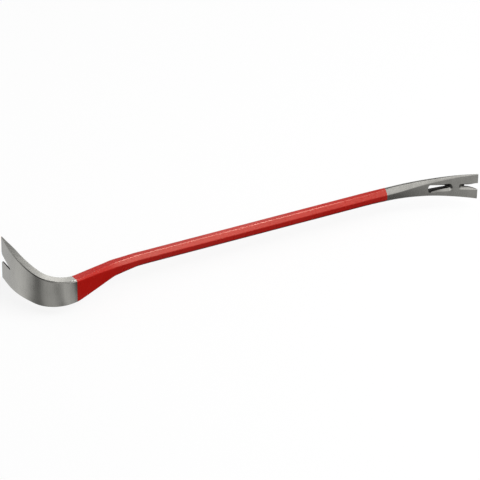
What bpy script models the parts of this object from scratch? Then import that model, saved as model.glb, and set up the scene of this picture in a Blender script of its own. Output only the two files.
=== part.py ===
"""A forged steel wrecking bar: gooseneck nail claw, octagonal shank, curved chisel end, red paint coat.

The bar lies on its side. Its bend plane is level, X runs along the shank towards the chisel end,
the claw curls towards +Y and the chisel end bends towards -Y. Lengths are in metres, angles in degrees.
The forging is one piece of steel. Every point of it is placed by a distance along the bar's bent
centre line, an offset across the bar in the bend plane and a height above that plane.
"""

import math

import bmesh
import bpy
from mathutils import Vector

# Bar stock
SHANK_FLATS = 0.018
SHANK_LENGTH = 0.353

# Claw arm, from the shank out to the claw's tip
NECK_FIRST_BEND_RADIUS = 0.064
NECK_FIRST_BEND_ANGLE = 8.2
NECK_MIDDLE_LENGTH = 0.030
NECK_LAST_BEND_RADIUS = 0.051
NECK_LAST_BEND_ANGLE = 12.0
NECK_LENGTH = 0.060
GOOSENECK_RADIUS = 0.0405
GOOSENECK_ANGLE = 90.0
CLAW_HEEL_LENGTH = 0.053
CLAW_HEEL_ANGLE = 15.4
CLAW_TOE_LENGTH = 0.038
CLAW_TOE_ANGLE = 1.2

# Chisel arm, from the shank out to the chisel's tip
CHISEL_ROOT_LENGTH = 0.055
CHISEL_ROOT_ANGLE = 4.2
CHISEL_BLADE_LENGTH = 0.126
CHISEL_BLADE_ANGLE = 26.0

# Forged sections: thickness in the bend plane, width across it, and how far each corner is cut off
NECK_FLARE_LEAD = 0.010
NECK_BEND_THICKNESS = 0.0186
NECK_BEND_WIDTH = 0.022
NECK_BEND_CORNER = 0.0045
NECK_THICKNESS = 0.0168
NECK_WIDTH = 0.0292
NECK_CORNER = 0.0030
GOOSENECK_THICKNESS = 0.016
GOOSENECK_WIDTH = 0.0354
GOOSENECK_CORNER = 0.0021
CLAW_ROOT_THICKNESS = 0.013
CLAW_ROOT_WIDTH = 0.0488
CLAW_ROOT_CORNER = 0.0012
CLAW_BLADE_THICKNESS = 0.0097
CLAW_BLADE_WIDTH = 0.062
CLAW_BLADE_CORNER = 0.0009
CLAW_TIP_THICKNESS = 0.0017
CLAW_TIP_WIDTH = 0.069
CHISEL_ROOT_THICKNESS = 0.0168
CHISEL_ROOT_WIDTH = 0.0214
CHISEL_ROOT_CORNER = 0.0062
CHISEL_WAIST_FROM_TIP = 0.0764
CHISEL_WAIST_THICKNESS = 0.0115
CHISEL_WAIST_WIDTH = 0.0264
CHISEL_WAIST_CORNER = 0.0035
CHISEL_FLARE_FROM_TIP = 0.033
CHISEL_FLARE_THICKNESS = 0.0062
CHISEL_FLARE_WIDTH = 0.0352
CHISEL_FLARE_CORNER = 0.0018
CHISEL_TIP_THICKNESS = 0.0020
CHISEL_TIP_WIDTH = 0.0420
TIP_CORNER = 0.0005
ARRIS_RADIUS = 0.0020

# Nail slot in the claw: a thin wall at the outer face, then a wide bevel that opens into the hook
CLAW_SLOT_DEPTH = 0.0335
CLAW_SLOT_ROOT_WIDTH = 0.0024
CLAW_SLOT_MOUTH_WIDTH = 0.0120
CLAW_SLOT_LIP_RADIUS = 0.0050
CLAW_SLOT_WALL = 0.0018
CLAW_SLOT_LEAST_BEVEL = 0.15
CLAW_SLOT_BEVEL_AT_ROOT = 0.0095
CLAW_SLOT_BEVEL_AT_MOUTH = 0.0012

# Nail hole in the chisel end, its wide end towards the shank. On the hollow side it is bevelled ever
# deeper towards its narrow end, and from the bevel's foot it tapers to a smaller mouth at the back.
NAIL_HOLE_LENGTH = 0.0375
NAIL_HOLE_FROM_TIP = 0.037
NAIL_HOLE_CORNER = 0.0030
NAIL_HOLE_WIDE = 0.0136
NAIL_HOLE_FLARE = 0.0130
NAIL_HOLE_WAIST = 0.0006
NAIL_HOLE_FOOT_WIDE = 0.0128
NAIL_HOLE_FOOT_NARROW = 0.0050
NAIL_HOLE_FOOT_CURVE = 0.7
NAIL_HOLE_FOOT_SHORTER = 0.0037
NAIL_HOLE_BACK_WIDE = 0.0118
NAIL_HOLE_BACK_NARROW = 0.0036
NAIL_HOLE_BACK_SHORTER = 0.0102
NAIL_HOLE_SHALLOW_BEVEL = 0.06
NAIL_HOLE_DEEP_BEVEL = 0.45

# Notch in the chisel's tip, dished on the hollow side, with a foot and a back mouth of its own
NOTCH_DEPTH = 0.0276
NOTCH_CORNER = 0.0020
NOTCH_ROOT_WIDTH = 0.0092
NOTCH_MOUTH_WIDTH = 0.0118
NOTCH_FOOT_DEPTH = 0.0235
NOTCH_FOOT_ROOT_WIDTH = 0.0032
NOTCH_FOOT_MOUTH_WIDTH = 0.0115
NOTCH_BACK_DEPTH = 0.0200
NOTCH_BACK_ROOT_WIDTH = 0.0022
NOTCH_BACK_MOUTH_WIDTH = 0.0112
NOTCH_FLANK_CURVE = 1.7
NOTCH_BEVEL = 0.75

# Paint coat, measured from the ends of the shank
COAT_PAST_SHANK_AT_CLAW = 0.1170
COAT_PAST_SHANK_AT_CHISEL = 0.0402
COAT_GAP = 0.0003
COAT_FILM = 0.0003

# Facet sizes, and how far a cutter runs past the steel
ARC_STEP = 3.6
RING_STEP = 0.0078
ROUND_POINTS = 7
FLANK_POINTS = 6
LIP_END_ANGLE = 75.0
CUTTER_OVERRUN = 0.004
FACE_OVERRUN = 0.002
SHARP_ANGLE = 18.0
NEARLY_ZERO = 1e-9

# The most of a section that a corner cut may take, and of an octagon's side that an arris may take
CORNER_SHARE = 0.42
ARRIS_SHARE = 0.45

OCTAGON_CORNER = SHANK_FLATS * (1 - math.sqrt(0.5))
OCTAGON_HALF_TURN = math.radians(22.5)

# The bar's centre line as runs from the claw's tip to the chisel's tip: name, length, turn to the left
RUNS = (
    ("toe", CLAW_TOE_LENGTH, CLAW_TOE_ANGLE),
    ("heel", CLAW_HEEL_LENGTH, CLAW_HEEL_ANGLE),
    ("gooseneck", GOOSENECK_RADIUS * math.radians(GOOSENECK_ANGLE), GOOSENECK_ANGLE),
    ("neck", NECK_LENGTH, 0.0),
    ("last bend", NECK_LAST_BEND_RADIUS * math.radians(NECK_LAST_BEND_ANGLE), -NECK_LAST_BEND_ANGLE),
    ("neck middle", NECK_MIDDLE_LENGTH, 0.0),
    ("first bend", NECK_FIRST_BEND_RADIUS * math.radians(NECK_FIRST_BEND_ANGLE), -NECK_FIRST_BEND_ANGLE),
    ("shank", SHANK_LENGTH, 0.0),
    ("chisel root", CHISEL_ROOT_LENGTH, -CHISEL_ROOT_ANGLE),
    ("chisel blade", CHISEL_BLADE_LENGTH, -CHISEL_BLADE_ANGLE),
)
RUN_TURNS = {name: turn for name, _, turn in RUNS}
BAR_LENGTH = sum(length for _, length, _ in RUNS)


def end_of_arc(point, heading, length, turn):
    """Where a straight or arc-shaped stretch ends: a point in the bend plane and a heading in radians."""
    if abs(turn) < NEARLY_ZERO:
        return point + length * Vector((math.cos(heading), math.sin(heading))), heading
    after = heading + turn
    swing = Vector((math.sin(after) - math.sin(heading), math.cos(heading) - math.cos(after)))
    return point + length / turn * swing, after


def measure_runs():
    """Start distance, start point, start heading and length of each run, with the shank along X."""
    names = [name for name, _, _ in RUNS]
    heading = -math.radians(sum(turn for _, _, turn in RUNS[: names.index("shank")]))
    point = Vector((0.0, 0.0))
    distance = 0.0
    found = {}
    for name, length, turn in RUNS:
        found[name] = (distance, point, heading, length)
        point, heading = end_of_arc(point, heading, length, math.radians(turn))
        distance += length
    shank_start = found["shank"][1]
    return {name: (start, point - shank_start, *rest) for name, (start, point, *rest) in found.items()}


MEASURED = measure_runs()


def start_of(run):
    """Distance along the bar where a run starts."""
    return MEASURED[run][0]


def end_of(run):
    """Distance along the bar where a run ends."""
    return MEASURED[run][0] + MEASURED[run][3]


def middle_of(run):
    """Distance along the bar of a run's middle."""
    return (start_of(run) + end_of(run)) / 2


def run_at(distance):
    """The run that holds a distance along the bar; the end runs go on past the tips."""
    return [name for name, _, _ in RUNS if name == "toe" or start_of(name) <= distance][-1]


def bar_point(distance, across, height):
    """A point by its distance along the bar, its offset to the left of the centre line and its height."""
    run = run_at(distance)
    start, point, heading, length = MEASURED[run]
    turn = math.radians(RUN_TURNS[run]) * (distance - start) / length
    centre, heading = end_of_arc(point, heading, distance - start, turn)
    return Vector((centre.x - across * math.sin(heading), centre.y + across * math.cos(heading), height))


# Distance along the bar, thickness, width and corner cut of each forged section
SECTIONS = (
    (0.0, CLAW_TIP_THICKNESS, CLAW_TIP_WIDTH, TIP_CORNER),
    (end_of("toe"), CLAW_BLADE_THICKNESS, CLAW_BLADE_WIDTH, CLAW_BLADE_CORNER),
    (end_of("heel"), CLAW_ROOT_THICKNESS, CLAW_ROOT_WIDTH, CLAW_ROOT_CORNER),
    (end_of("gooseneck"), GOOSENECK_THICKNESS, GOOSENECK_WIDTH, GOOSENECK_CORNER),
    (middle_of("neck"), NECK_THICKNESS, NECK_WIDTH, NECK_CORNER),
    (middle_of("last bend"), NECK_BEND_THICKNESS, NECK_BEND_WIDTH, NECK_BEND_CORNER),
    (start_of("shank") + NECK_FLARE_LEAD, SHANK_FLATS, SHANK_FLATS, OCTAGON_CORNER),
    (end_of("shank"), SHANK_FLATS, SHANK_FLATS, OCTAGON_CORNER),
    (end_of("chisel root"), CHISEL_ROOT_THICKNESS, CHISEL_ROOT_WIDTH, CHISEL_ROOT_CORNER),
    (BAR_LENGTH - CHISEL_WAIST_FROM_TIP, CHISEL_WAIST_THICKNESS, CHISEL_WAIST_WIDTH, CHISEL_WAIST_CORNER),
    (BAR_LENGTH - CHISEL_FLARE_FROM_TIP, CHISEL_FLARE_THICKNESS, CHISEL_FLARE_WIDTH, CHISEL_FLARE_CORNER),
    (BAR_LENGTH, CHISEL_TIP_THICKNESS, CHISEL_TIP_WIDTH, TIP_CORNER),
)
PLACES, *SECTION_COLUMNS = zip(*SECTIONS)


def slopes_of(values):
    """Slopes at the section places of a smooth curve through the values that never swings past them."""
    rises = [
        (values[i + 1] - values[i]) / (PLACES[i + 1] - PLACES[i]) for i in range(len(PLACES) - 1)
    ]
    inner = [
        2 * before * after / (before + after) if before * after > 0 else 0.0
        for before, after in zip(rises, rises[1:])
    ]
    return [rises[0], *inner, rises[-1]]


SECTION_CURVES = [(values, slopes_of(values)) for values in SECTION_COLUMNS]


def value_at(curve, distance):
    """A section curve's value at a distance along the bar."""
    values, slopes = curve
    i = max(k for k in range(len(PLACES) - 1) if k == 0 or PLACES[k] <= distance)
    step = PLACES[i + 1] - PLACES[i]
    t = (distance - PLACES[i]) / step
    return (
        (2 * t**3 - 3 * t**2 + 1) * values[i]
        + (t**3 - 2 * t**2 + t) * step * slopes[i]
        + (3 * t**2 - 2 * t**3) * values[i + 1]
        + (t**3 - t**2) * step * slopes[i + 1]
    )


def section_at(distance):
    """Half thickness, half width and corner cut of the forging; past a tip it stays as at the tip."""
    on_bar = min(max(distance, 0.0), BAR_LENGTH)
    thickness, width, corner = (value_at(curve, on_bar) for curve in SECTION_CURVES)
    return thickness / 2, width / 2, min(corner, CORNER_SHARE * thickness, CORNER_SHARE * width)


def section_outline(distance, grow=0.0):
    """The section as (across, height) points: an octagon with softened arrises, grown outwards."""
    half_thickness, half_width, corner = section_at(distance)
    arris = min(ARRIS_RADIUS, corner) + grow
    half_thickness += grow
    half_width += grow
    corner += grow * (2 - math.sqrt(2))
    corners = []
    for side_across, side_height in ((1, 1), (-1, 1), (-1, -1), (1, -1)):
        on_side = Vector((side_across * half_thickness, side_height * (half_width - corner)))
        on_edge = Vector((side_across * (half_thickness - corner), side_height * half_width))
        corners += [on_side, on_edge] if side_across == side_height else [on_edge, on_side]
    back_off = arris * math.tan(OCTAGON_HALF_TURN)
    outline = []
    for i, here in enumerate(corners):
        for neighbour in (corners[i - 1], corners[(i + 1) % len(corners)]):
            along = neighbour - here
            outline.append(here + along.normalized() * min(back_off, ARRIS_SHARE * along.length))
    return outline


def ring(distance, grow=0.0):
    """The section's points in space."""
    return [bar_point(distance, across, height) for across, height in section_outline(distance, grow)]


COAT_START = start_of("shank") - COAT_PAST_SHANK_AT_CLAW
COAT_END = end_of("shank") + COAT_PAST_SHANK_AT_CHISEL


def ring_places(first, last):
    """Distances where the section is drawn: close together where the bar bends or tapers."""
    plain_start = start_of("shank") + NECK_FLARE_LEAD
    marks = {start_of(name) for name, _, _ in RUNS} | {COAT_START, COAT_END, plain_start, first, last}
    marks = sorted(mark for mark in marks if first <= mark <= last)
    places = [first]
    for near, far in zip(marks, marks[1:]):
        run = run_at((near + far) / 2)
        turn = abs(RUN_TURNS[run]) * (far - near) / MEASURED[run][3]
        steps = max(math.ceil(turn / ARC_STEP), math.ceil((far - near) / RING_STEP))
        if run == "shank" and near >= plain_start:
            steps = 1
        places += [near + (far - near) * (k + 1) / steps for k in range(steps)]
    return places


def add_object(name, drawn, material):
    """A named object with outward faces, shaded smooth along its curves and sharp at its real edges."""
    bmesh.ops.recalc_face_normals(drawn, faces=drawn.faces)
    mesh = bpy.data.meshes.new(name)
    drawn.to_mesh(mesh)
    drawn.free()
    mesh.shade_smooth()
    mesh.set_sharp_from_angle(angle=math.radians(SHARP_ANGLE))
    mesh.materials.append(material)
    made = bpy.data.objects.new(name, mesh)
    bpy.context.scene.collection.objects.link(made)
    return made


def loft(rings, is_tube=False):
    """A closed mesh through rings of points: capped at both ends, or joined end to end as a tube wall."""
    drawn = bmesh.new()
    loops = [[drawn.verts.new(point) for point in points] for points in rings]
    pairs = list(zip(loops, loops[1:]))
    if is_tube:
        pairs.append((loops[-1], loops[0]))
    else:
        drawn.faces.new(loops[0])
        drawn.faces.new(loops[-1])
    for near, far in pairs:
        for i in range(len(near)):
            following = (i + 1) % len(near)
            drawn.faces.new((near[i], near[following], far[following], far[i]))
    return drawn


def lipped_slot(depth, root_radius, half_mouth, lip_radius):
    """One side of a tapering slot with rounded lips, as (u, height), u being 0 at its mouth."""
    root = depth - root_radius
    flank = math.atan2(half_mouth, root) - math.asin(root_radius / math.hypot(root, half_mouth))
    leaving = math.radians(LIP_END_ANGLE)
    reach = lip_radius * math.tan((math.pi / 2 - flank) / 2)
    lip_u = reach * math.cos(flank) + lip_radius * math.sin(flank)
    lip_height = half_mouth - reach * math.sin(flank) + lip_radius * math.cos(flank)
    side = []
    for k in range(ROUND_POINTS):
        angle = (math.pi / 2 - flank) * k / (ROUND_POINTS - 1)
        side.append((root + root_radius * math.cos(angle), root_radius * math.sin(angle)))
    for k in range(ROUND_POINTS):
        angle = flank + (leaving - flank) * k / (ROUND_POINTS - 1)
        side.append((lip_u - lip_radius * math.sin(angle), lip_height - lip_radius * math.cos(angle)))
    last_u, last_height = side[-1]
    past_mouth = (
        last_u - CUTTER_OVERRUN * math.cos(leaving),
        last_height + CUTTER_OVERRUN * math.sin(leaving),
    )
    return side + [past_mouth]


def flanked_slot(first, last, corner, first_half, last_half, curve=1.0, waist=0.0, round_end=True):
    """One side of a slot as (distance, height): rounded first end, flank, and round or open last end."""
    end_length = last_half if round_end else 0.0
    shoulder, hip = first + corner, last - end_length
    side = []
    for k in range(ROUND_POINTS):
        angle = math.pi / 2 * k / (ROUND_POINTS - 1)
        side.append((shoulder - corner * math.cos(angle), first_half * math.sin(angle)))
    for k in range(1, FLANK_POINTS + 1):
        t = k / FLANK_POINTS
        half = first_half + (last_half - first_half) * t**curve - waist * math.sin(math.pi * t)
        side.append((shoulder + (hip - shoulder) * t, half))
    if round_end:
        for k in range(1, ROUND_POINTS):
            angle = math.pi / 2 * k / (ROUND_POINTS - 1)
            side.append((hip + last_half * math.sin(angle), last_half * math.cos(angle)))
        return side
    (before_d, before_half), (end_d, end_half) = side[-2:]
    rise = (end_half - before_half) / (end_d - before_d)
    return side + [(end_d + CUTTER_OVERRUN, end_half + CUTTER_OVERRUN * rise)]


def whole_outline(side):
    """A slot's outline from its upper side; points on the middle line are there once."""
    lower = [(distance, -height) for distance, height in reversed(side) if height > NEARLY_ZERO]
    return [(distance, max(height, 0.0)) for distance, height in side] + lower


def bent_cutter(name, hollow_side, face, foot, back, bevel_share, material):
    """A cutter that follows the bar's bend through three outlines: on the hollow face, at the bevel's
    foot, which lies at a share of the local thickness, and on the far face. It runs past both faces."""
    over_face, at_foot, over_back = [], [], []
    for face_point, foot_point, back_point in zip(*(map(Vector, line) for line in (face, foot, back))):
        thickness = 2 * section_at(foot_point.x)[0]
        depth = bevel_share(foot_point.x) * thickness
        above = face_point + (face_point - foot_point) * FACE_OVERRUN / depth
        below = back_point + (back_point - foot_point) * CUTTER_OVERRUN / (thickness - depth)
        over_face.append(bar_point(above.x, hollow_side * (section_at(above.x)[0] + FACE_OVERRUN), above.y))
        at_foot.append(bar_point(foot_point.x, hollow_side * (thickness / 2 - depth), foot_point.y))
        far_side = section_at(below.x)[0] + CUTTER_OVERRUN
        over_back.append(bar_point(below.x, -hollow_side * far_side, below.y))
    cutter = add_object(name, loft([over_face, at_foot, over_back]), material)
    cutter.hide_render = True
    cutter.display_type = "WIRE"
    return cutter


def cut(body, cutter):
    """Cuts one object out of another."""
    modifier = body.modifiers.new(cutter.name, "BOOLEAN")
    modifier.operation = "DIFFERENCE"
    modifier.solver = "EXACT"
    modifier.object = cutter


def claw_slot_cutter(material):
    """The V between the claw's two tines, with rounded lips and a wide bevel inside the hook."""

    def outline(grow_root, grow_mouth):
        half_root = CLAW_SLOT_ROOT_WIDTH / 2 + grow_root
        half_mouth = CLAW_SLOT_MOUTH_WIDTH / 2 + grow_mouth
        return whole_outline(
            lipped_slot(CLAW_SLOT_DEPTH + grow_root, half_root, half_mouth, CLAW_SLOT_LIP_RADIUS)
        )

    def bevel_share(distance):
        return max(CLAW_SLOT_LEAST_BEVEL, 1 - CLAW_SLOT_WALL / (2 * section_at(distance)[0]))

    face = outline(CLAW_SLOT_BEVEL_AT_ROOT, CLAW_SLOT_BEVEL_AT_MOUTH)
    wall = outline(0.0, 0.0)
    return bent_cutter("claw_slot_cutter", 1, face, wall, wall, bevel_share, material)


def notch_outline(depth, root_width, mouth_width, curve):
    """One of the tip notch's outlines, from its root out past the chisel's tip."""
    root = BAR_LENGTH - depth
    side = flanked_slot(
        root, BAR_LENGTH, NOTCH_CORNER, root_width / 2, mouth_width / 2, curve, round_end=False
    )
    return whole_outline(side)


def tip_notch_cutter(material):
    """The notch in the chisel's tip."""
    face = notch_outline(NOTCH_DEPTH, NOTCH_ROOT_WIDTH, NOTCH_MOUTH_WIDTH, 1.0)
    foot = notch_outline(
        NOTCH_FOOT_DEPTH, NOTCH_FOOT_ROOT_WIDTH, NOTCH_FOOT_MOUTH_WIDTH, NOTCH_FLANK_CURVE
    )
    back = notch_outline(
        NOTCH_BACK_DEPTH, NOTCH_BACK_ROOT_WIDTH, NOTCH_BACK_MOUTH_WIDTH, NOTCH_FLANK_CURVE
    )
    return bent_cutter("tip_notch_cutter", -1, face, foot, back, lambda distance: NOTCH_BEVEL, material)


def nail_hole_cutter(material):
    """The nail hole, whose bevel starts at the wide end and is deepest at the narrow one."""
    end = BAR_LENGTH - NAIL_HOLE_FROM_TIP
    start = end - NAIL_HOLE_LENGTH

    def outline(shorter, wide, narrow, curve=1.0, waist=0.0):
        side = flanked_slot(start, end - shorter, NAIL_HOLE_CORNER, wide / 2, narrow / 2, curve, waist)
        return whole_outline(side)

    def bevel_share(distance):
        along = (distance - start) / NAIL_HOLE_LENGTH
        return NAIL_HOLE_SHALLOW_BEVEL + (NAIL_HOLE_DEEP_BEVEL - NAIL_HOLE_SHALLOW_BEVEL) * along

    face = outline(0.0, NAIL_HOLE_WIDE, NAIL_HOLE_FLARE, waist=NAIL_HOLE_WAIST)
    foot = outline(
        NAIL_HOLE_FOOT_SHORTER, NAIL_HOLE_FOOT_WIDE, NAIL_HOLE_FOOT_NARROW, NAIL_HOLE_FOOT_CURVE
    )
    back = outline(NAIL_HOLE_BACK_SHORTER, NAIL_HOLE_BACK_WIDE, NAIL_HOLE_BACK_NARROW)
    return bent_cutter("nail_hole_cutter", -1, face, foot, back, bevel_share, material)


def forged_bar(steel):
    """The whole steel forging, with its claw slot, nail hole and tip notch."""
    bar = add_object("forged_bar", loft([ring(place) for place in ring_places(0.0, BAR_LENGTH)]), steel)
    cutters = [claw_slot_cutter(steel), nail_hole_cutter(steel), tip_notch_cutter(steel)]
    for cutter in cutters:
        cut(bar, cutter)
    return [bar, *cutters]


def red_coating(paint):
    """The paint coat: a thin closed sleeve that follows the forging from one paint line to the other."""
    places = ring_places(COAT_START, COAT_END)
    outer = [ring(place, COAT_GAP + COAT_FILM) for place in places]
    inner = [ring(place, COAT_GAP) for place in places]
    return add_object("red_coating", loft(outer + inner[::-1], is_tube=True), paint)


def material(name, colour, metallic, roughness):
    """A Principled material."""
    made = bpy.data.materials.new(name)
    made.use_nodes = True
    shader = made.node_tree.nodes["Principled BSDF"]
    shader.inputs["Base Color"].default_value = (*colour, 1.0)
    shader.inputs["Metallic"].default_value = metallic
    shader.inputs["Roughness"].default_value = roughness
    return made


def stand_on_origin(objects):
    """Parents the objects to an empty that sets the bar's box down on the origin, centred in plan."""
    points = [point for place in ring_places(0.0, BAR_LENGTH) for point in ring(place)]
    low = Vector([min(point[k] for point in points) for k in range(3)])
    high = Vector([max(point[k] for point in points) for k in range(3)])
    stand = bpy.data.objects.new("crowbar", None)
    bpy.context.scene.collection.objects.link(stand)
    stand.location = (-(low.x + high.x) / 2, -(low.y + high.y) / 2, -low.z)
    for item in objects:
        item.parent = stand


def main():
    for old in list(bpy.data.objects):
        bpy.data.objects.remove(old, do_unlink=True)
    steel = material("ground_steel", (0.33, 0.32, 0.30), 1.0, 0.38)
    paint = material("red_paint", (0.55, 0.03, 0.02), 0.0, 0.32)
    stand_on_origin([*forged_bar(steel), red_coating(paint)])


main()
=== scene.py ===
"""Looks for the wrecking bar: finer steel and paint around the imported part.

The studio light is soft, and the camera stands at the photo's angle.
"""

import math

import bmesh
import bpy
import numpy as np
from mathutils import Matrix, Vector


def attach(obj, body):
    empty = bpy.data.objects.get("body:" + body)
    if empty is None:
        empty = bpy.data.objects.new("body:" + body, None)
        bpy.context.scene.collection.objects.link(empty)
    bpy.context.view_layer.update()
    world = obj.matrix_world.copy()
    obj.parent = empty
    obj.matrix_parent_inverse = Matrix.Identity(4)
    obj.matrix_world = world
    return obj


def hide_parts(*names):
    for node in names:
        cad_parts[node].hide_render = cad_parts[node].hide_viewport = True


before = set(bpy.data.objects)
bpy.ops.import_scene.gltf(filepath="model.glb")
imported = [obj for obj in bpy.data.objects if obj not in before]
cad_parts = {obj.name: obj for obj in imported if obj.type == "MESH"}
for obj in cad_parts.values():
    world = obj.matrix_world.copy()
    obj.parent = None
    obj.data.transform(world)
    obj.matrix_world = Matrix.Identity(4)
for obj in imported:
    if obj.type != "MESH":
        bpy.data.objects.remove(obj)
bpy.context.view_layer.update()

# The bar's sizes in metres and degrees, as in the part's source
SHANK_FLATS = 0.018
SHANK_LENGTH = 0.353
NECK_BEND_RADII = (0.064, 0.051)
NECK_BEND_ANGLES = (8.2, 12.0)
NECK_MIDDLE_LENGTH = 0.030
NECK_LENGTH = 0.060
GOOSENECK_RADIUS = 0.0405
GOOSENECK_ANGLE = 90.0
CLAW_HEEL = (0.053, 15.4)
CLAW_TOE = (0.038, 1.2)
CHISEL_ROOT = (0.055, 4.2)
CHISEL_BLADE = (0.126, 26.0)
NECK_FLARE_LEAD = 0.010
TIP_CORNER = 0.0005
OCTAGON_CORNER = SHANK_FLATS * (1 - math.sqrt(0.5))
COAT_PAST_SHANK_AT_CLAW = 0.1170
COAT_PAST_SHANK_AT_CHISEL = 0.0402

# Where the shank's centre line starts in the part's frame
SHANK_START = Vector((-0.176979, -0.022738, 0.0345))

# Name, length and turn of each run of the centre line, from the claw's toe to the chisel's tip
RUNS = (
    ("toe", *CLAW_TOE),
    ("heel", *CLAW_HEEL),
    ("gooseneck", GOOSENECK_RADIUS * math.radians(GOOSENECK_ANGLE), GOOSENECK_ANGLE),
    ("neck", NECK_LENGTH, 0.0),
    ("last bend", NECK_BEND_RADII[1] * math.radians(NECK_BEND_ANGLES[1]), -NECK_BEND_ANGLES[1]),
    ("neck middle", NECK_MIDDLE_LENGTH, 0.0),
    ("first bend", NECK_BEND_RADII[0] * math.radians(NECK_BEND_ANGLES[0]), -NECK_BEND_ANGLES[0]),
    ("shank", SHANK_LENGTH, 0.0),
    ("chisel root", CHISEL_ROOT[0], -CHISEL_ROOT[1]),
    ("chisel blade", CHISEL_BLADE[0], -CHISEL_BLADE[1]),
)
RUN_TURNS = {name: turn for name, _, turn in RUNS}
BAR_LENGTH = sum(length for _, length, _ in RUNS)

# A turn of less than this, in radians, counts as none
STRAIGHT = 1e-9


def end_of_arc(point, heading, length, turn):
    """End of a straight or arc-shaped stretch: a point in the bend plane, a heading in radians."""
    if abs(turn) < STRAIGHT:
        return point + length * Vector((math.cos(heading), math.sin(heading))), heading
    after = heading + turn
    swing = Vector((math.sin(after) - math.sin(heading), math.cos(heading) - math.cos(after)))
    return point + length / turn * swing, after


def measure_runs():
    """Start distance, start point, start heading and length of each run, with the shank along X."""
    names = [name for name, _, _ in RUNS]
    heading = -math.radians(sum(turn for _, _, turn in RUNS[: names.index("shank")]))
    point = Vector((0.0, 0.0))
    distance = 0.0
    found = {}
    for name, length, turn in RUNS:
        found[name] = (distance, point, heading, length)
        point, heading = end_of_arc(point, heading, length, math.radians(turn))
        distance += length
    shank_start = found["shank"][1]
    return {
        name: (start, point - shank_start, *rest)
        for name, (start, point, *rest) in found.items()
    }


MEASURED = measure_runs()


def start_of(run):
    return MEASURED[run][0]


def end_of(run):
    return MEASURED[run][0] + MEASURED[run][3]


def middle_of(run):
    return (start_of(run) + end_of(run)) / 2


def run_at(distance):
    return [name for name, _, _ in RUNS if name == "toe" or start_of(name) <= distance][-1]


def centre_at(distance):
    """Centre line point in the bend plane and heading at a distance along the bar."""
    run = run_at(distance)
    start, point, heading, length = MEASURED[run]
    turn = math.radians(RUN_TURNS[run]) * (distance - start) / length
    return end_of_arc(point, heading, distance - start, turn)


def bar_point(distance, across, height):
    """A point in the part's frame by its distance along the bar, offset to the left and height."""
    centre, heading = centre_at(distance)
    x = centre.x - across * math.sin(heading)
    y = centre.y + across * math.cos(heading)
    return Vector((x, y, height)) + SHANK_START


# Distance along the bar, thickness, width and corner cut of each forged section
SECTIONS = (
    (0.0, 0.0017, 0.069, TIP_CORNER),
    (end_of("toe"), 0.0097, 0.062, 0.0009),
    (end_of("heel"), 0.013, 0.0488, 0.0012),
    (end_of("gooseneck"), 0.016, 0.0354, 0.0021),
    (middle_of("neck"), 0.0168, 0.0292, 0.0030),
    (middle_of("last bend"), 0.0186, 0.022, 0.0045),
    (start_of("shank") + NECK_FLARE_LEAD, SHANK_FLATS, SHANK_FLATS, OCTAGON_CORNER),
    (end_of("shank"), SHANK_FLATS, SHANK_FLATS, OCTAGON_CORNER),
    (end_of("chisel root"), 0.0168, 0.0214, 0.0062),
    (BAR_LENGTH - 0.0764, 0.0115, 0.0264, 0.0035),
    (BAR_LENGTH - 0.033, 0.0062, 0.0352, 0.0018),
    (BAR_LENGTH, 0.0020, 0.0420, TIP_CORNER),
)
PLACES, *SECTION_COLUMNS = zip(*SECTIONS)


def slopes_of(values):
    """Slopes at the section places of a smooth curve that never swings past its values."""
    rises = [
        (values[i + 1] - values[i]) / (PLACES[i + 1] - PLACES[i]) for i in range(len(PLACES) - 1)
    ]
    inner = [
        2 * before * after / (before + after) if before * after > 0 else 0.0
        for before, after in zip(rises, rises[1:])
    ]
    return [rises[0], *inner, rises[-1]]


SECTION_CURVES = [(values, slopes_of(values)) for values in SECTION_COLUMNS]


def value_at(curve, distance):
    values, slopes = curve
    i = max(k for k in range(len(PLACES) - 1) if k == 0 or PLACES[k] <= distance)
    step = PLACES[i + 1] - PLACES[i]
    t = (distance - PLACES[i]) / step
    return (
        (2 * t**3 - 3 * t**2 + 1) * values[i]
        + (t**3 - 2 * t**2 + t) * step * slopes[i]
        + (3 * t**2 - 2 * t**3) * values[i + 1]
        + (t**3 - t**2) * step * slopes[i + 1]
    )


# A corner cut takes at most this share of the thickness and of the width
MOST_CORNER_SHARE = 0.42


def section_at(distance):
    """Half thickness, half width and corner cut at a distance along the bar."""
    on_bar = min(max(distance, 0.0), BAR_LENGTH)
    thickness, width, corner = (value_at(curve, on_bar) for curve in SECTION_CURVES)
    corner = min(corner, MOST_CORNER_SHARE * thickness, MOST_CORNER_SHARE * width)
    return thickness / 2, width / 2, corner


# The arrises are rounder than the source's 2.0 mm, for the photo's width of highlight. The octagon
# turns by 45 degrees at each, and the curve there takes at most a share of the sides beside it.
ARRIS_RADIUS = 0.0024
ARRIS_STEPS = 4
ARRIS_HALF_TURN = math.radians(22.5)
MOST_ARRIS_SHARE = 0.45


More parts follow.
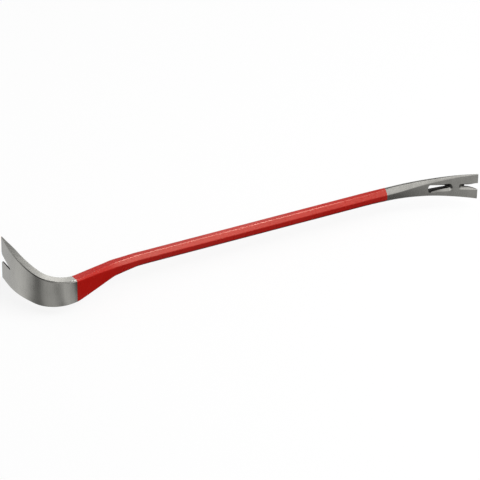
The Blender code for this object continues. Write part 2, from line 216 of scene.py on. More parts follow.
def section_outline(distance, grow=0.0):
    """The section as (across, height) points: an octagon with rounded arrises."""
    half_thickness, half_width, corner = section_at(distance)
    arris = min(ARRIS_RADIUS, corner) + grow
    half_thickness += grow
    half_width += grow
    corner += grow * (2 - math.sqrt(2))
    corners = []
    for side_across, side_height in ((1, 1), (-1, 1), (-1, -1), (1, -1)):
        on_side = Vector((side_across * half_thickness, side_height * (half_width - corner)))
        on_edge = Vector((side_across * (half_thickness - corner), side_height * half_width))
        corners += [on_side, on_edge] if side_across == side_height else [on_edge, on_side]
    back_off = arris * math.tan(ARRIS_HALF_TURN)
    outline = []
    for i, here in enumerate(corners):
        ends = []
        for neighbour in (corners[i - 1], corners[(i + 1) % len(corners)]):
            along = neighbour - here
            cut = min(back_off, MOST_ARRIS_SHARE * along.length)
            ends.append(here + along.normalized() * cut)
        for k in range(ARRIS_STEPS + 1):
            t = k / ARRIS_STEPS
            outline.append((1 - t) ** 2 * ends[0] + 2 * t * (1 - t) * here + t**2 * ends[1])
    return outline


def ring(distance, grow=0.0):
    """The section's points in the part's frame."""
    outline = section_outline(distance, grow)
    return [bar_point(distance, across, height) for across, height in outline]


COAT_START = start_of("shank") - COAT_PAST_SHANK_AT_CLAW
COAT_END = end_of("shank") + COAT_PAST_SHANK_AT_CHISEL
RING_STEP = 0.0025
SHANK_STEP = 0.012


def ring_places(first, last):
    """Distances of the rings between two places, sparser along the plain shank."""
    marks = {start_of(name) for name, _, _ in RUNS}
    marks |= {COAT_START, COAT_END, start_of("shank") + NECK_FLARE_LEAD, first, last}
    marks = sorted(mark for mark in marks if first <= mark <= last)
    places = [first]
    for near, far in zip(marks, marks[1:]):
        step = SHANK_STEP if run_at((near + far) / 2) == "shank" else RING_STEP
        steps = math.ceil((far - near) / step)
        places += [near + (far - near) * (k + 1) / steps for k in range(steps)]
    return places


def loft(rings, is_tube=False):
    """A closed skin over the rings, with end caps, or with its last ring joined to its first."""
    drawn = bmesh.new()
    loops = [[drawn.verts.new(point) for point in points] for points in rings]
    pairs = list(zip(loops, loops[1:]))
    if is_tube:
        pairs.append((loops[-1], loops[0]))
    else:
        drawn.faces.new(loops[0])
        drawn.faces.new(loops[-1])
    for near, far in pairs:
        for i in range(len(near)):
            following = (i + 1) % len(near)
            drawn.faces.new((near[i], near[following], far[following], far[i]))
    bmesh.ops.recalc_face_normals(drawn, faces=drawn.faces)
    return drawn


def new_object(name, drawn):
    mesh = bpy.data.meshes.new(name)
    drawn.to_mesh(mesh)
    drawn.free()
    made = bpy.data.objects.new(name, mesh)
    bpy.context.scene.collection.objects.link(made)
    return made


# Slot, hole and notch
ROUND_POINTS = 15
FLANK_POINTS = 14
LIP_END_ANGLE = 75.0
CUTTER_OVERRUN = 0.004
FACE_OVERRUN = 0.002

# Nail slot in the claw: a thin wall at the outer face, then a wide bevel that opens into the hook
CLAW_SLOT_DEPTH = 0.0335
CLAW_SLOT_ROOT_WIDTH = 0.0024
CLAW_SLOT_MOUTH_WIDTH = 0.0120
CLAW_SLOT_LIP_RADIUS = 0.0050
CLAW_SLOT_WALL = 0.0018
CLAW_SLOT_LEAST_BEVEL = 0.15
CLAW_SLOT_BEVEL_AT_ROOT = 0.0095
CLAW_SLOT_BEVEL_AT_MOUTH = 0.0012

# Nail hole in the chisel end, its wide end towards the shank. On the hollow side it is bevelled
# ever deeper towards its narrow end, and from the bevel's foot it tapers to a smaller back mouth.
NAIL_HOLE_LENGTH = 0.0375
NAIL_HOLE_FROM_TIP = 0.037
NAIL_HOLE_CORNER = 0.0030
NAIL_HOLE_WIDE = 0.0136
NAIL_HOLE_FLARE = 0.0130
NAIL_HOLE_WAIST = 0.0006
NAIL_HOLE_FOOT_WIDE = 0.0128
NAIL_HOLE_FOOT_NARROW = 0.0050
NAIL_HOLE_FOOT_CURVE = 0.7
NAIL_HOLE_FOOT_SHORTER = 0.0037
NAIL_HOLE_BACK_WIDE = 0.0118
NAIL_HOLE_BACK_NARROW = 0.0036
NAIL_HOLE_BACK_SHORTER = 0.0102
NAIL_HOLE_SHALLOW_BEVEL = 0.06
NAIL_HOLE_DEEP_BEVEL = 0.45

# Notch in the chisel's tip, dished on the hollow side, with a foot and a back mouth of its own
NOTCH_DEPTH = 0.0276
NOTCH_CORNER = 0.0020
NOTCH_ROOT_WIDTH = 0.0092
NOTCH_MOUTH_WIDTH = 0.0118
NOTCH_FOOT_DEPTH = 0.0235
NOTCH_FOOT_ROOT_WIDTH = 0.0032
NOTCH_FOOT_MOUTH_WIDTH = 0.0115
NOTCH_BACK_DEPTH = 0.0200
NOTCH_BACK_ROOT_WIDTH = 0.0022
NOTCH_BACK_MOUTH_WIDTH = 0.0112
NOTCH_FLANK_CURVE = 1.7
NOTCH_BEVEL = 0.75


def lipped_slot(depth, root_radius, half_mouth, lip_radius):
    """One side of a tapering slot with rounded lips, as (u, height), u being 0 at its mouth."""
    root = depth - root_radius
    flank = math.atan2(half_mouth, root) - math.asin(root_radius / math.hypot(root, half_mouth))
    leaving = math.radians(LIP_END_ANGLE)
    reach = lip_radius * math.tan((math.pi / 2 - flank) / 2)
    lip_u = reach * math.cos(flank) + lip_radius * math.sin(flank)
    lip_height = half_mouth - reach * math.sin(flank) + lip_radius * math.cos(flank)
    side = []
    for k in range(ROUND_POINTS):
        angle = (math.pi / 2 - flank) * k / (ROUND_POINTS - 1)
        side.append((root + root_radius * math.cos(angle), root_radius * math.sin(angle)))
    for k in range(ROUND_POINTS):
        angle = flank + (leaving - flank) * k / (ROUND_POINTS - 1)
        u = lip_u - lip_radius * math.sin(angle)
        side.append((u, lip_height - lip_radius * math.cos(angle)))
    last_u, last_height = side[-1]
    past_mouth = (
        last_u - CUTTER_OVERRUN * math.cos(leaving),
        last_height + CUTTER_OVERRUN * math.sin(leaving),
    )
    return side + [past_mouth]


def flanked_slot(
    first, last, corner, first_half, last_half, curve=1.0, waist=0.0, round_end=True
):
    """One side of a slot as (distance, height): a rounded end, a flank, a round or open end."""
    end_length = last_half if round_end else 0.0
    shoulder, hip = first + corner, last - end_length
    side = []
    for k in range(ROUND_POINTS):
        angle = math.pi / 2 * k / (ROUND_POINTS - 1)
        side.append((shoulder - corner * math.cos(angle), first_half * math.sin(angle)))
    for k in range(1, FLANK_POINTS + 1):
        t = k / FLANK_POINTS
        half = first_half + (last_half - first_half) * t**curve - waist * math.sin(math.pi * t)
        side.append((shoulder + (hip - shoulder) * t, half))
    if round_end:
        for k in range(1, ROUND_POINTS):
            angle = math.pi / 2 * k / (ROUND_POINTS - 1)
            side.append((hip + last_half * math.sin(angle), last_half * math.cos(angle)))
        return side
    (before_d, before_half), (end_d, end_half) = side[-2:]
    rise = (end_half - before_half) / (end_d - before_d)
    return side + [(end_d + CUTTER_OVERRUN, end_half + CUTTER_OVERRUN * rise)]


# A point lower than this is on the middle line
ON_MIDDLE = 1e-9


def whole_outline(side):
    """A slot's outline from its upper side; points on the middle line are there once."""
    lower = [(distance, -height) for distance, height in reversed(side) if height > ON_MIDDLE]
    return [(distance, max(height, 0.0)) for distance, height in side] + lower


def bent_cutter(name, hollow_side, face, foot, back, bevel_share, finishes):
    """A cutter through three outlines: on the hollow face, at the bevel's foot, on the back."""
    over_face, at_foot, over_back = [], [], []
    lines = (map(Vector, line) for line in (face, foot, back))
    for face_point, foot_point, back_point in zip(*lines):
        thickness = 2 * section_at(foot_point.x)[0]
        depth = bevel_share(foot_point.x) * thickness
        above = face_point + (face_point - foot_point) * FACE_OVERRUN / depth
        below = back_point + (back_point - foot_point) * CUTTER_OVERRUN / (thickness - depth)
        near_side = section_at(above.x)[0] + FACE_OVERRUN
        over_face.append(bar_point(above.x, hollow_side * near_side, above.y))
        at_foot.append(bar_point(foot_point.x, hollow_side * (thickness / 2 - depth), foot_point.y))
        far_side = section_at(below.x)[0] + CUTTER_OVERRUN
        over_back.append(bar_point(below.x, -hollow_side * far_side, below.y))
    drawn = loft([over_face, at_foot, over_back])
    drawn.verts.index_update()
    for drawn_face in drawn.faces:
        is_wall = all(vertex.index >= len(face) for vertex in drawn_face.verts)
        drawn_face.material_index = int(is_wall)
    cutter = new_object(name, drawn)
    for finish in finishes:
        cutter.data.materials.append(finish)
    return cutter


def claw_slot_cutter(finishes):
    """The V between the claw's two tines, with rounded lips and a wide bevel inside the hook."""

    def outline(grow_root, grow_mouth):
        half_root = CLAW_SLOT_ROOT_WIDTH / 2 + grow_root
        half_mouth = CLAW_SLOT_MOUTH_WIDTH / 2 + grow_mouth
        depth = CLAW_SLOT_DEPTH + grow_root
        return whole_outline(lipped_slot(depth, half_root, half_mouth, CLAW_SLOT_LIP_RADIUS))

    def bevel_share(distance):
        return max(CLAW_SLOT_LEAST_BEVEL, 1 - CLAW_SLOT_WALL / (2 * section_at(distance)[0]))

    face = outline(CLAW_SLOT_BEVEL_AT_ROOT, CLAW_SLOT_BEVEL_AT_MOUTH)
    through = outline(0.0, 0.0)
    return bent_cutter("claw_slot_cutter", 1, face, through, through, bevel_share, finishes)


def notch_outline(depth, root_width, mouth_width, curve):
    """One of the tip notch's outlines, from its root out past the chisel's tip."""
    root = BAR_LENGTH - depth
    side = flanked_slot(
        root, BAR_LENGTH, NOTCH_CORNER, root_width / 2, mouth_width / 2, curve, round_end=False
    )
    return whole_outline(side)


def tip_notch_cutter(finishes):
    """The notch in the chisel's tip."""
    face = notch_outline(NOTCH_DEPTH, NOTCH_ROOT_WIDTH, NOTCH_MOUTH_WIDTH, 1.0)
    foot = notch_outline(
        NOTCH_FOOT_DEPTH, NOTCH_FOOT_ROOT_WIDTH, NOTCH_FOOT_MOUTH_WIDTH, NOTCH_FLANK_CURVE
    )
    back = notch_outline(
        NOTCH_BACK_DEPTH, NOTCH_BACK_ROOT_WIDTH, NOTCH_BACK_MOUTH_WIDTH, NOTCH_FLANK_CURVE
    )

    def bevel_share(distance):
        return NOTCH_BEVEL

    return bent_cutter("tip_notch_cutter", -1, face, foot, back, bevel_share, finishes)


def nail_hole_cutter(finishes):
    """The nail hole, whose bevel starts at the wide end and is deepest at the narrow one."""
    end = BAR_LENGTH - NAIL_HOLE_FROM_TIP
    start = end - NAIL_HOLE_LENGTH

    def outline(shorter, wide, narrow, curve=1.0, waist=0.0):
        halves = (wide / 2, narrow / 2)
        side = flanked_slot(start, end - shorter, NAIL_HOLE_CORNER, *halves, curve, waist)
        return whole_outline(side)

    def bevel_share(distance):
        along = (distance - start) / NAIL_HOLE_LENGTH
        return NAIL_HOLE_SHALLOW_BEVEL + (NAIL_HOLE_DEEP_BEVEL - NAIL_HOLE_SHALLOW_BEVEL) * along

    face = outline(0.0, NAIL_HOLE_WIDE, NAIL_HOLE_FLARE, waist=NAIL_HOLE_WAIST)
    foot = outline(
        NAIL_HOLE_FOOT_SHORTER, NAIL_HOLE_FOOT_WIDE, NAIL_HOLE_FOOT_NARROW, NAIL_HOLE_FOOT_CURVE
    )
    back = outline(NAIL_HOLE_BACK_SHORTER, NAIL_HOLE_BACK_WIDE, NAIL_HOLE_BACK_NARROW)
    return bent_cutter("nail_hole_cutter", -1, face, foot, back, bevel_share, finishes)


def apply_modifiers(obj):
    evaluated = obj.evaluated_get(bpy.context.evaluated_depsgraph_get())
    mesh = bpy.data.meshes.new_from_object(evaluated)
    obj.modifiers.clear()
    obj.data = mesh


# Corners nearer than this are joined
SAME_CORNER = 0.00001


def spare_corners(drawn):
    """Corners that the two faces beside them would both cut off as the same sliver.

    Once triangulated, these slivers would lie back to back and leave the mesh open.
    """
    split = drawn.copy()
    bmesh.ops.triangulate(split, faces=split.faces, quad_method="FIXED", ngon_method="EAR_CLIP")
    on_corners = {}
    for face in split.faces:
        on_corners.setdefault(frozenset(vertex.index for vertex in face.verts), []).append(face)
    folds = {face for faces in on_corners.values() if len(faces) > 1 for face in faces}
    corners = {vertex for face in folds for vertex in face.verts}
    spare = {vertex.index for vertex in corners if folds.issuperset(vertex.link_faces)}
    split.free()
    return sorted(spare)


def close_slivers(obj):
    """Joins a cut mesh's nearly equal corners and takes out its spare ones, so it is closed."""
    drawn = bmesh.new()
    drawn.from_mesh(obj.data)
    bmesh.ops.remove_doubles(drawn, verts=drawn.verts, dist=SAME_CORNER)
    drawn.verts.index_update()
    spare = spare_corners(drawn)
    while spare:
        drawn.verts.ensure_lookup_table()
        bmesh.ops.dissolve_verts(drawn, verts=[drawn.verts[i] for i in spare])
        drawn.verts.index_update()
        spare = spare_corners(drawn)
    drawn.to_mesh(obj.data)
    drawn.free()


def cut_with(body, tools):
    for tool in tools:
        modifier = body.modifiers.new(tool.name, "BOOLEAN")
        modifier.operation = "DIFFERENCE"
        modifier.solver = "EXACT"
        modifier.material_mode = "TRANSFER"
        modifier.object = tool
    apply_modifiers(body)
    close_slivers(body)
    for tool in tools:
        bpy.data.objects.remove(tool, do_unlink=True)


# Bar coordinates for the materials
POINTS_AT_ONCE = 2000
LINE_STEPS = 4000
LINE_AT = np.linspace(0.0, BAR_LENGTH, LINE_STEPS)
LINE = [centre_at(float(d)) for d in LINE_AT]
LINE_XY = np.array([(p.x + SHANK_START.x, p.y + SHANK_START.y) for p, _ in LINE])
LINE_HEADING = np.array([h for _, h in LINE])


def bar_coordinates(points):
    """Distance along the bar, offset across it and height of each point."""
    nearest = np.empty(len(points), int)
    for first in range(0, len(points), POINTS_AT_ONCE):
        after = first + POINTS_AT_ONCE
        gaps = ((points[first:after, None, :2] - LINE_XY[None]) ** 2).sum(2)
        nearest[first:after] = gaps.argmin(1)
    heading = LINE_HEADING[nearest]
    offset = points[:, :2] - LINE_XY[nearest]
    ahead = offset[:, 0] * np.cos(heading) + offset[:, 1] * np.sin(heading)
    across = -offset[:, 0] * np.sin(heading) + offset[:, 1] * np.cos(heading)
    return np.stack([LINE_AT[nearest] + ahead, across, points[:, 2] - SHANK_START.z], 1)


def add_bar_coordinates(obj):
    """Keeps each point's bar coordinates in the mesh, where the materials read them."""
    mesh = obj.data
    points = np.empty(len(mesh.vertices) * 3, np.float32)
    mesh.vertices.foreach_get("co", points)
    coordinates = bar_coordinates(points.reshape(-1, 3).astype(float))
    layer = mesh.attributes.new("bar", "FLOAT_VECTOR", "POINT")
    layer.data.foreach_set("vector", coordinates.astype(np.float32).ravel())


SHARP_ANGLE = 30.0


def finish_mesh(obj):
    """Smooth shading between sharp edges, weighted by face area, and the bar coordinates."""
    obj.data.shade_smooth()
    obj.data.set_sharp_from_angle(angle=math.radians(SHARP_ANGLE))
    add_bar_coordinates(obj)
    weighted = obj.modifiers.new("even_shading", "WEIGHTED_NORMAL")
    weighted.keep_sharp = True
    weighted.weight = 100


# Node helpers
NOISE_MIDDLE = (0.3, 0.7)


class Nodes:
    """A short way to write the node tree of a material or of the world."""

    def __init__(self, owner):
        owner.use_nodes = True
        self.owner = owner
        self.tree = owner.node_tree
        self.shader = self.tree.nodes.get("Principled BSDF")

    def put(self, target, value):
        if isinstance(value, bpy.types.NodeSocket):
            self.tree.links.new(value, target)
        elif value is not None:
            target.default_value = value

    def node(self, kind, inputs=(), **settings):
        made = self.tree.nodes.new(kind)
        for key, value in settings.items():
            setattr(made, key, value)
        for key, value in dict(inputs).items():
            self.put(made.inputs[key], value)
        return made

    def math(self, operation, a, b=None, c=None, clamp=False):
        made = self.node("ShaderNodeMath", operation=operation, use_clamp=clamp)
        for socket, value in zip(made.inputs, (a, b, c)):
            self.put(socket, value)
        return made.outputs[0]

    def vector_math(self, operation, a, b=None):
        made = self.node("ShaderNodeVectorMath", operation=operation)
        for socket, value in zip(made.inputs, (a, b)):
            self.put(socket, value)
        return made

    def bar(self):
        """The bar coordinates: along, across and height in metres."""
        made = self.node("ShaderNodeAttribute", attribute_name="bar")
        split = self.node("ShaderNodeSeparateXYZ", {0: made.outputs["Vector"]})
        return made.outputs["Vector"], split.outputs

    def noise(self, vector, scale, detail=2.0, roughness=0.5, stretch=None):
        if stretch:
            vector = self.vector_math("MULTIPLY", vector, stretch).outputs[0]
        made = self.node(
            "ShaderNodeTexNoise",
            {"Vector": vector, "Scale": scale, "Detail": detail, "Roughness": roughness},
        )
        return made.outputs["Fac"]

    def ramp(self, value, low, high, out_low=0.0, out_high=1.0, smooth=True):
        """The value's place between low and high, as a place between the two outputs."""
        made = self.node(
            "ShaderNodeMapRange",
            {0: value, 1: low, 2: high, 3: out_low, 4: out_high},
            interpolation_type="SMOOTHSTEP" if smooth else "LINEAR",
        )
        return made.outputs[0]

    def spread(self, noise, out_low=0.0, out_high=1.0):
        """The middle of a noise's values, spread between the two outputs."""
        return self.ramp(noise, *NOISE_MIDDLE, out_low, out_high)

    def product(self, *values):
        """The values multiplied with each other."""
        found = values[0]
        for value in values[1:]:
            found = self.math("MULTIPLY", found, value)
        return found

    def mix(self, factor, a, b):
        # Inputs 6 and 7 and output 2 are the node's colour sockets
        made = self.node("ShaderNodeMix", data_type="RGBA")
        self.put(made.inputs[0], factor)
        self.put(made.inputs[6], (*a, 1.0) if isinstance(a, tuple) else a)
        self.put(made.inputs[7], (*b, 1.0) if isinstance(b, tuple) else b)
        return made.outputs[2]

    def bump(self, height, distance, strength, normal=None):
        made = self.node(
            "ShaderNodeBump", {"Height": height, "Distance": distance, "Strength": strength}
        )
        if normal:
            self.put(made.inputs["Normal"], normal)
        return made.outputs["Normal"]

    def set(self, **values):
        for key, value in values.items():
            self.put(self.shader.inputs[key.replace("_", " ")], value)


# Ground steel. The marks run across the bar, so they change most often along it: the numbers are
# for along, across and upwards.
STEEL_GREY = (0.362, 0.356, 0.332)
FINE_MARKS = (2600.0, 160.0, 160.0)
COARSE_MARKS = (420.0, 40.0, 40.0)
MOTTLE_SCALE = 55.0

# Ground bevels have painted shade: darker above the middle height, where they face down, and
# lighter below it. They are also darker from the claw to the nail hole's wide end than at its
# narrow end and beyond.
BEVEL_HEIGHTS = (-0.001, -0.0035)
BEVEL_PAINTED_SHADE = 0.45
BEVEL_TONE_STEP_FROM_HOLE_END = (0.028, 0.008)
WIDE_END_BEVEL = 0.6
BRIGHT_BEVEL = 0.98


def bevel_tone(n, along, height):
    """A ground bevel's tone as a share of the open steel's, with painted shade above its middle."""
    first, last = (BAR_LENGTH - NAIL_HOLE_FROM_TIP - back for back in BEVEL_TONE_STEP_FROM_HOLE_END)
    along_tone = n.ramp(along, first, last, WIDE_END_BEVEL, BRIGHT_BEVEL)
    # Painted shade: the bevel's upper half, which faces down, is darker than its lower half
    return n.product(n.ramp(height, *BEVEL_HEIGHTS, BEVEL_PAINTED_SHADE, 1.0), along_tone)


def steel_material(name, is_bevel=False):
    """Ground steel: fine marks across the bar, a little mottling, and painted shade on bevels."""
    n = Nodes(bpy.data.materials.new(name))
    bar, (along, _, height) = n.bar()
    marks = n.noise(bar, 1.0, detail=3.0, roughness=0.6, stretch=FINE_MARKS)
    coarse = n.noise(bar, 1.0, detail=3.0, roughness=0.55, stretch=COARSE_MARKS)
    mottle = n.noise(bar, MOTTLE_SCALE, detail=4.0, roughness=0.6)
    tone = n.product(
        n.spread(marks, 0.95, 1.05),
        n.spread(coarse, 0.97, 1.03),
        n.spread(mottle, 0.95, 1.05),
        # On bevels the tone includes painted shade on their upper halves
        bevel_tone(n, along, height) if is_bevel else 1.0,
    )
    grey = n.vector_math("SCALE", STEEL_GREY)
    n.put(grey.inputs["Scale"], tone)
    coarse_relief = n.bump(coarse, distance=0.00006, strength=0.25)
    n.set(
        Base_Color=grey.outputs[0],
        Metallic=1.0,
        Roughness=n.math(
            "ADD", n.ramp(marks, 0.25, 0.75, 0.24, 0.32), n.spread(mottle, -0.02, 0.03)
        ),
        Normal=n.bump(marks, distance=0.00002, strength=0.3, normal=coarse_relief),
    )
    return n.owner


WALL_DARKS = ((0.030, 0.029, 0.028), (0.055, 0.053, 0.050))


def wall_material():
    """The forged, unground walls of the slot, hole and notch: dark scale with a little relief."""
    n = Nodes(bpy.data.materials.new("forged_wall_finish"))
    bar, _ = n.bar()
    scale = n.noise(bar, 700.0, detail=3.0, roughness=0.55)
    shade = n.noise(bar, 90.0)
    n.set(
        Base_Color=n.mix(n.spread(shade), *WALL_DARKS),
        Metallic=1.0,
        Roughness=n.spread(scale, 0.42, 0.55),
        Normal=n.bump(scale, distance=0.00006, strength=0.4),
    )
    return n.owner


PAINT_REDS = ((0.54, 0.008, 0.005), (0.58, 0.011, 0.007))
NECK_GLOSS_ENDS = (0.195, 0.245)
NECK_SPECULAR, SHANK_SPECULAR = 0.19, 0.5


def paint_material():
    """Semi-gloss red enamel with a slight orange peel, which mirrors less round the neck."""
    n = Nodes(bpy.data.materials.new("red_paint_finish"))
    bar, (along, _, _) = n.bar()
    peel = n.noise(bar, 420.0)
    waves = n.noise(bar, 60.0)
    shade = n.noise(bar, 22.0, detail=3.0)
    wavy_relief = n.bump(waves, distance=0.0002, strength=0.12)
    n.set(
        Base_Color=n.mix(n.spread(shade), *PAINT_REDS),
        Specular_IOR_Level=n.ramp(along, *NECK_GLOSS_ENDS, NECK_SPECULAR, SHANK_SPECULAR),
        Specular_Tint=(1.0, 0.97, 0.78, 1.0),
        Roughness=n.spread(waves, 0.24, 0.32),
        Normal=n.bump(peel, distance=0.00003, strength=0.2, normal=wavy_relief),
    )
    return n.owner


# The two pieces
def make_bar():
    """The forging with its slot, hole and notch."""
    steel = steel_material("ground_steel_finish")
    # The bevel material has painted shade on the bevels' upper halves
    inside = (steel_material("ground_bevel_painted_shade", is_bevel=True), wall_material())
    bar = new_object("forged_bar_finish", loft([ring(d) for d in ring_places(0.0, BAR_LENGTH)]))
    bar.data.materials.append(steel)
    makers = (claw_slot_cutter, nail_hole_cutter, tip_notch_cutter)
    cut_with(bar, [make_cutter(inside) for make_cutter in makers])
    finish_mesh(bar)
    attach(bar, "root")
    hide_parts("forged_bar")


# How far the paint's outer wall stands proud of the steel, and how deep its inner wall is in it
COAT_FILM = 0.00012
COAT_SINK = 0.00010


def make_coat():
    """The paint as a thin tube, proud of the steel and sunk a little into it."""
    places = ring_places(COAT_START, COAT_END)
    outer = [ring(d, COAT_FILM) for d in places]
    inner = [ring(d, -COAT_SINK) for d in places]
    coat = new_object("red_coating_finish", loft(outer + inner[::-1], is_tube=True))
    coat.data.materials.append(paint_material())
    finish_mesh(coat)
    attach(coat, "root")
    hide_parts("red_coating")


make_bar()
make_coat()

# Camera at the photo's angle
CAMERA_AZIMUTH = -27.15
CAMERA_ELEVATION = 33.658
CAMERA_ROLL = 1.111
CAMERA_DISTANCE = 4.3105
CAMERA_TARGET = Vector((-0.00614, 0.00049, 0.00356))
CAMERA_LENS = 225.0
CAMERA_SENSOR = 36.0
CAMERA_SEES_TO = 50.0


def make_camera():
    """Looks at the target from its azimuth and elevation, rolled about the view."""
    azimuth, elevation, roll = (
        math.radians(v) for v in (CAMERA_AZIMUTH, CAMERA_ELEVATION, CAMERA_ROLL)
    )
    back = Vector((
        math.sin(azimuth) * math.cos(elevation),
        -math.cos(azimuth) * math.cos(elevation),
        math.sin(elevation),
    ))
    right = Vector((math.cos(azimuth), math.sin(azimuth), 0.0))
    up = back.cross(right)
    turned_right = math.cos(roll) * right + math.sin(roll) * up
    turned_up = math.cos(roll) * up - math.sin(roll) * right
    data = bpy.data.cameras.new("camera")
    data.lens = CAMERA_LENS
    data.sensor_width = CAMERA_SENSOR
    data.clip_end = CAMERA_SEES_TO
    camera = bpy.data.objects.new("camera", data)
    bpy.context.scene.collection.objects.link(camera)
    axes = Matrix((turned_right, turned_up, back)).transposed().to_4x4()
    camera.matrix_world = Matrix.Translation(CAMERA_TARGET + back * CAMERA_DISTANCE) @ axes
    bpy.context.scene.camera = camera


make_camera()


# Studio
def area_light(name, direction, distance, size, radiance):
    """A soft box at a distance from the origin, aimed at it, by the radiance of its face.

    Only the cards show in reflections.
    """
    data = bpy.data.lights.new(name, "AREA")
    data.shape = "RECTANGLE"
    data.size, data.size_y = size
    data.energy = radiance * math.pi * size[0] * size[1]
    lamp = bpy.data.objects.new(name, data)
    bpy.context.scene.collection.objects.link(lamp)
    aim = Vector(direction).normalized()
    lamp.location = aim * distance
    lamp.rotation_mode = "QUATERNION"
    lamp.rotation_quaternion = aim.to_track_quat("Z", "Y")
    lamp.visible_camera = False
    lamp.visible_glossy = False


def level_plane(name, height, near, far, material):
    """A level rectangle between two opposite corners, which isn't part of the object."""
    corners = [
        (near[0], near[1], height),
        (far[0], near[1], height),
        (far[0], far[1], height),
        (near[0], far[1], height),
    ]
    drawn = bmesh.new()
    drawn.faces.new([drawn.verts.new(corner) for corner in corners])
    made = new_object(name, drawn)
    made.data.materials.append(material)
    return made


def seen_directly(n):
    """1 where the camera, a mirror or a glass sees the surface, 0 where it only lights others."""
    paths = n.node("ShaderNodeLightPath").outputs
    seen = n.math("ADD", paths["Is Camera Ray"], paths["Is Glossy Ray"], clamp=True)
    return n.math("ADD", seen, paths["Is Transmission Ray"], clamp=True)


FLOOR_COLOUR = 0.18
FLOOR_GLOW = 0.845


def floor_material():
    """Grey that takes the bar's shadow, with a glow that makes it white where it is seen."""
    n = Nodes(bpy.data.materials.new("pale_floor"))
    n.set(
        Base_Color=(FLOOR_COLOUR, FLOOR_COLOUR, FLOOR_COLOUR, 1.0),
        Roughness=0.9,
        Specular_IOR_Level=0.0,
        Emission_Color=(1.0, 1.0, 1.0, 1.0),
        Emission_Strength=n.math("MULTIPLY", seen_directly(n), FLOOR_GLOW),
    )
    return n.owner


# Cards that only reflections see. A shade of 1 is white.
BRIGHTEST = 4.0
WHITE = (1.0 / BRIGHTEST,) * 3

# Grey board. Its shade goes by the direction from a point under the hook, in degrees from +X, and
# along X in front of the shank and the chisel end. Farther in front it is lighter.
BOARD_HEIGHT = 0.0002
BOARD_POLE = (-0.291, -0.048)
SHADES_ROUND_HOOK = (
    (90.0, 0.75), (122.0, 0.79), (139.0, 1.02), (160.0, 0.33), (172.0, 0.25), (190.0, 0.62),
    (210.0, 0.68), (234.0, 0.44), (259.0, 0.90), (286.0, 0.72), (310.0, 0.40),
)
SHADES_IN_FRONT = (
    (-0.30, 0.30), (-0.235, 0.02), (-0.13, 0.13), (0.0, 0.11), (0.20, 0.07), (0.25, 0.20),
    (0.30, 0.48), (0.33, 0.56),
)
BOARD_PAST_HOOK_X = (-0.275, -0.240)
BOARD_FARTHER_Y = (-0.085, -0.12)
BOARD_FARTHER_SHARES = (0.95, 1.22)
BOARD_BEFORE_CHISEL_X = (0.2, 0.1)
BOARD_BEHIND_Y = (0.0, 0.06)
BOARD_BEHIND_X = (-0.33, -0.28)

# Light canopy over the bar. Its shade goes by the direction from a point over the hook, and along X
# over the shank and the chisel end: one row of shades for what the front chamfer mirrors, one for
# the chisel's arris behind it and one for the top flat. Over the shank it has a gap, through which
# the arris alone mirrors a bright strip high above.
CANOPY_HEIGHT = 0.2
CANOPY_POLE = (-0.25, 0.03)
CANOPY_ROUND_HOOK = (
    (120.0, 0.50), (152.0, 0.62), (180.0, 0.08), (195.0, 0.06), (220.0, 0.28), (260.0, 0.68),
    (300.0, 0.50),
)
CANOPY_OVER_CHAMFER = (
    (-0.15, 2.6), (-0.10, 3.1), (0.0, 2.5), (0.12, 1.8), (0.22, 0.95), (0.28, 0.95), (0.31, 1.3),
)
CANOPY_OVER_ARRIS = ((-0.25, 1.0), (0.20, 1.8), (0.27, 1.0), (0.36, 1.3))
TOP_MIRROR_Y = 0.18
TOP_MIRROR_SLANT = 0.513
CANOPY_OVER_TOP = (
    (-0.285, 0.30), (-0.25, 0.62), (-0.23, 0.75), (-0.195, 3.3), (-0.165, 0.9), (-0.12, 0.5),
    (0.0, 0.95), (0.12, 1.0), (0.22, 0.40), (0.33, 0.12), (0.44, 0.12), (0.467, 1.0),
)
CHAMFER_TO_ARRIS_Y = (-0.10, -0.06)
ARRIS_TO_TOP_Y = (0.07, 0.13)
CANOPY_TO_WHITE_Y = (-0.20, -0.30)

# X of the border between the hook's shades and the rows is the sum of two steps, each given as the
# Y at its start and its end, then the X there. The shades blend over the width on both its sides.
HOOK_BORDER_NEAR = (-0.12, -0.06, -0.13, -0.19)
HOOK_BORDER_FAR = (0.03, 0.12, 0.0, -0.11)
HOOK_BORDER_WIDTH = 0.02

# Where the gap opens: over Y from the front, over Y from behind and over X from the right
GAP_NEAR_Y = (-0.09, -0.05)
GAP_FAR_Y = (0.10, 0.06)
GAP_END_X = (0.24, 0.18)

# Strip that the canopy's gap shows
STRIP_HEIGHT = 2.0
STRIP_NEAR, STRIP_FAR = (0.40, -0.40), (1.50, 1.20)
STRIP_STRENGTH = 10.5


def stops(n, value, points):
    """A grey that eases between (value, shade) points, as a share of BRIGHTEST."""
    first, last = points[0][0], points[-1][0]
    ramp = n.node("ShaderNodeValToRGB", {0: n.ramp(value, first, last, smooth=False)})
    ramp.color_ramp.interpolation = "EASE"
    elements = ramp.color_ramp.elements
    while len(elements) < len(points):
        elements.new(0.5)
    for element, (place, shade) in zip(elements, points):
        element.position = (place - first) / (last - first)
        element.color = (*(shade / BRIGHTEST,) * 3, 1.0)
    return ramp.outputs[0]


def place_and_angle(n, pole):
    """A surface point's X and Y, and its direction from a pole in degrees."""
    position = n.node("ShaderNodeNewGeometry").outputs["Position"]
    x, y, _ = n.node("ShaderNodeSeparateXYZ", {0: position}).outputs
    back_x = n.math("SUBTRACT", pole[0], x)
    back_y = n.math("SUBTRACT", pole[1], y)
    turned = n.math("ARCTAN2", back_y, back_x)
    return x, y, n.math("MULTIPLY_ADD", turned, 180.0 / math.pi, 180.0)


def glow(n, shade, strength=BRIGHTEST):
    """Makes a card give off a shade and reflect nothing."""
    n.set(
        Base_Color=(0.0, 0.0, 0.0, 1.0),
        Specular_IOR_Level=0.0,
        Emission_Color=shade,
        Emission_Strength=strength,
    )
    return n.owner


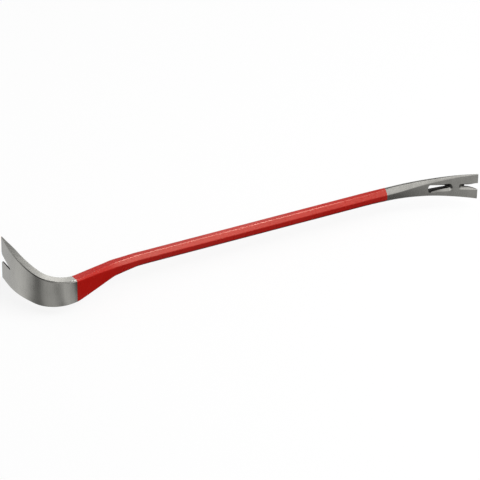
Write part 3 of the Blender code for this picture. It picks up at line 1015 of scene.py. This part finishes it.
def board_material():
    """Shades round the hook on the left, shades in front on the right, and white behind."""
    n = Nodes(bpy.data.materials.new("grey_board"))
    x, y, angle = place_and_angle(n, BOARD_POLE)
    round_hook = stops(n, angle, SHADES_ROUND_HOOK)
    by_depth = n.ramp(y, *BOARD_FARTHER_Y, *BOARD_FARTHER_SHARES, smooth=False)
    farther = n.math("MAXIMUM", by_depth, n.ramp(x, *BOARD_BEFORE_CHISEL_X))
    in_front = n.vector_math("SCALE", stops(n, x, SHADES_IN_FRONT))
    n.put(in_front.inputs["Scale"], farther)
    shade = n.mix(n.ramp(x, *BOARD_PAST_HOOK_X), round_hook, in_front.outputs[0])
    behind = n.product(n.ramp(y, *BOARD_BEHIND_Y), n.ramp(x, *BOARD_BEHIND_X))
    return glow(n, n.mix(behind, shade, WHITE))


def canopy_material():
    """Shades round the hook on the left, rows of shades over the rest, and the gap."""
    n = Nodes(bpy.data.materials.new("light_canopy"))
    x, y, angle = place_and_angle(n, CANOPY_POLE)
    round_hook = stops(n, angle, CANOPY_ROUND_HOOK)
    over_chamfer, over_arris = stops(n, x, CANOPY_OVER_CHAMFER), stops(n, x, CANOPY_OVER_ARRIS)
    shade = n.mix(n.ramp(y, *CHAMFER_TO_ARRIS_Y), over_chamfer, over_arris)
    abreast = n.math("MULTIPLY_ADD", n.math("SUBTRACT", y, TOP_MIRROR_Y), -TOP_MIRROR_SLANT, x)
    shade = n.mix(n.ramp(y, *ARRIS_TO_TOP_Y), shade, stops(n, abreast, CANOPY_OVER_TOP))
    shade = n.mix(n.ramp(y, *CANOPY_TO_WHITE_Y), shade, WHITE)
    border = n.math("ADD", n.ramp(y, *HOOK_BORDER_NEAR), n.ramp(y, *HOOK_BORDER_FAR))
    past_border = n.math("SUBTRACT", x, border)
    is_right = n.ramp(past_border, -HOOK_BORDER_WIDTH, HOOK_BORDER_WIDTH)
    over_shank = n.product(n.ramp(y, *GAP_NEAR_Y), n.ramp(y, *GAP_FAR_Y), n.ramp(x, *GAP_END_X))
    n.set(Alpha=n.math("SUBTRACT", 1.0, n.product(over_shank, is_right)))
    return glow(n, n.mix(is_right, round_hook, shade))


def strip_material():
    n = Nodes(bpy.data.materials.new("high_strip"))
    return glow(n, (1.0, 1.0, 1.0, 1.0), STRIP_STRENGTH)


def make_card(name, height, near, far, material):
    """A level card that only reflections see."""
    card = level_plane(name, height, near, far, material)
    card.visible_camera = False
    card.visible_diffuse = False
    card.visible_shadow = False
    card.visible_transmission = False


WORLD_LIGHT = 0.40


def make_world():
    """White where it is seen, and at a plain level where it lights the bar."""
    world = bpy.data.worlds.new("studio")
    bpy.context.scene.world = world
    n = Nodes(world)
    background = world.node_tree.nodes["Background"]
    background.inputs["Color"].default_value = (1.0, 1.0, 1.0, 1.0)
    strength = n.math("MULTIPLY_ADD", seen_directly(n), 1.0 - WORLD_LIGHT, WORLD_LIGHT)
    n.put(background.inputs["Strength"], strength)


FLOOR_NEAR, FLOOR_FAR = (-12.0, -12.0), (12.0, 12.0)
CARD_NEAR, CARD_FAR = (-1.2, -1.2), (1.2, 1.2)


def make_studio():
    """Floor, cards, world and lamps."""
    level_plane("floor", 0.0, FLOOR_NEAR, FLOOR_FAR, floor_material())
    make_card("grey_board", BOARD_HEIGHT, CARD_NEAR, CARD_FAR, board_material())
    make_card("light_canopy", CANOPY_HEIGHT, CARD_NEAR, CARD_FAR, canopy_material())
    make_card("high_strip", STRIP_HEIGHT, STRIP_NEAR, STRIP_FAR, strip_material())
    make_world()
    area_light(
        "key_softbox",
        direction=(0.56, -0.45, 0.69),
        distance=4.0,
        size=(3.0, 2.6),
        radiance=3.95,
    )
    area_light(
        "overhead_softbox",
        direction=(0.10, 0.10, 0.99),
        distance=1.4,
        size=(1.6, 0.8),
        radiance=0.5,
    )
    bpy.context.scene.view_settings.view_transform = "Standard"


make_studio()
